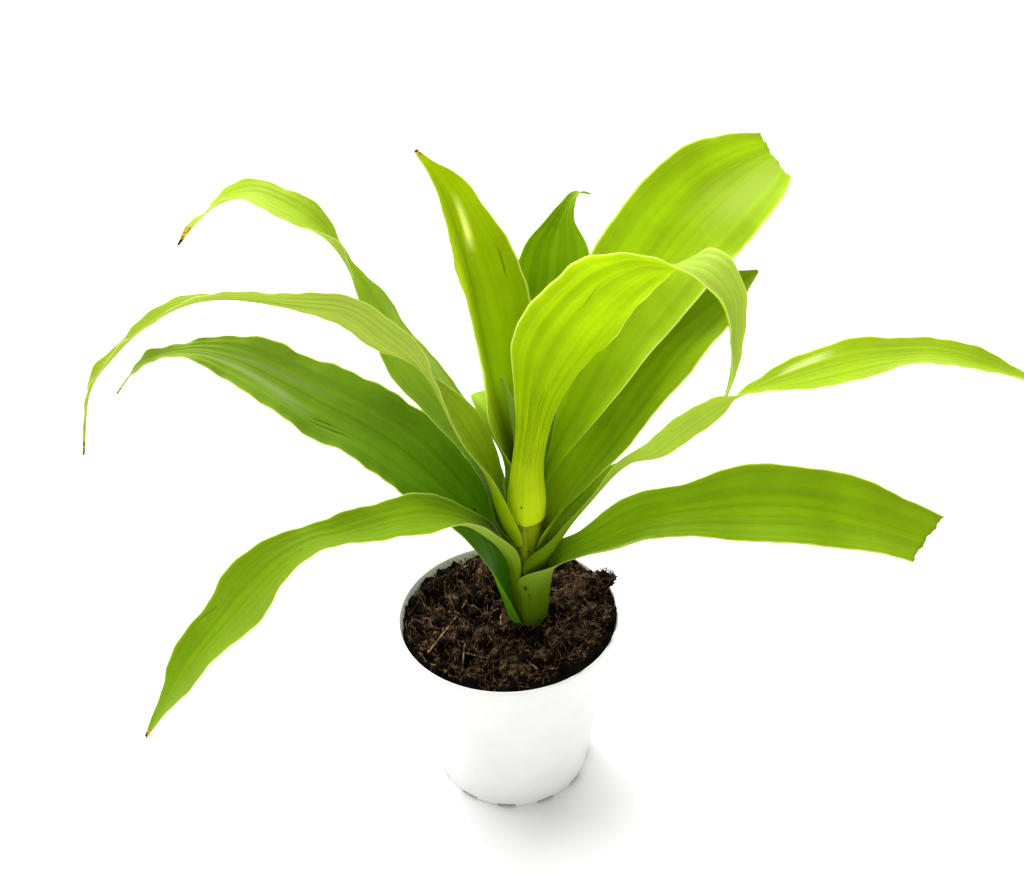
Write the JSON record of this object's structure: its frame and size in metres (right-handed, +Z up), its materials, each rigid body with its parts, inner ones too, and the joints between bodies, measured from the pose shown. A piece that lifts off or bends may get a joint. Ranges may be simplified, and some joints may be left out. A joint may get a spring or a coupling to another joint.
{
  "type": "potted dracaena",
  "caption": "Young lime-green dracaena with long arching strap leaves on a short stem, in peat in a round white nursery pot with drainage slots.",
  "frame": {"origin": "middle of the pot's flat foot, where it stands on the table", "axes": "+Z up; +X to the right with the longest leaves spreading along X; -Y towards the plant's front"},
  "size_m": [0.3772, 0.1647, 0.2985],
  "materials": {
    "pot_plastic": "satin",
    "peat": "matte",
    "green_stem": "satin",
    "old_leaf": "satin",
    "mid_leaf": "satin",
    "young_leaf": "satin"
  },
  "bodies": {
    "root": {"pot": "pot_plastic", "soil": "peat", "stem": "green_stem", "leaf_left_broad": "old_leaf", "leaf_right_cut": "mid_leaf", "leaf_front_left": "mid_leaf", "leaf_right_long": "mid_leaf", "leaf_left_arching": "old_leaf", "leaf_back_right": "old_leaf", "leaf_left_thin": "mid_leaf", "leaf_back_short": "mid_leaf", "leaf_front_arching": "young_leaf", "leaf_upright_cut": "young_leaf", "leaf_back": "old_leaf", "leaf_upright_left": "young_leaf", "leaf_young": "old_leaf"}
  },
  "joints": []
}
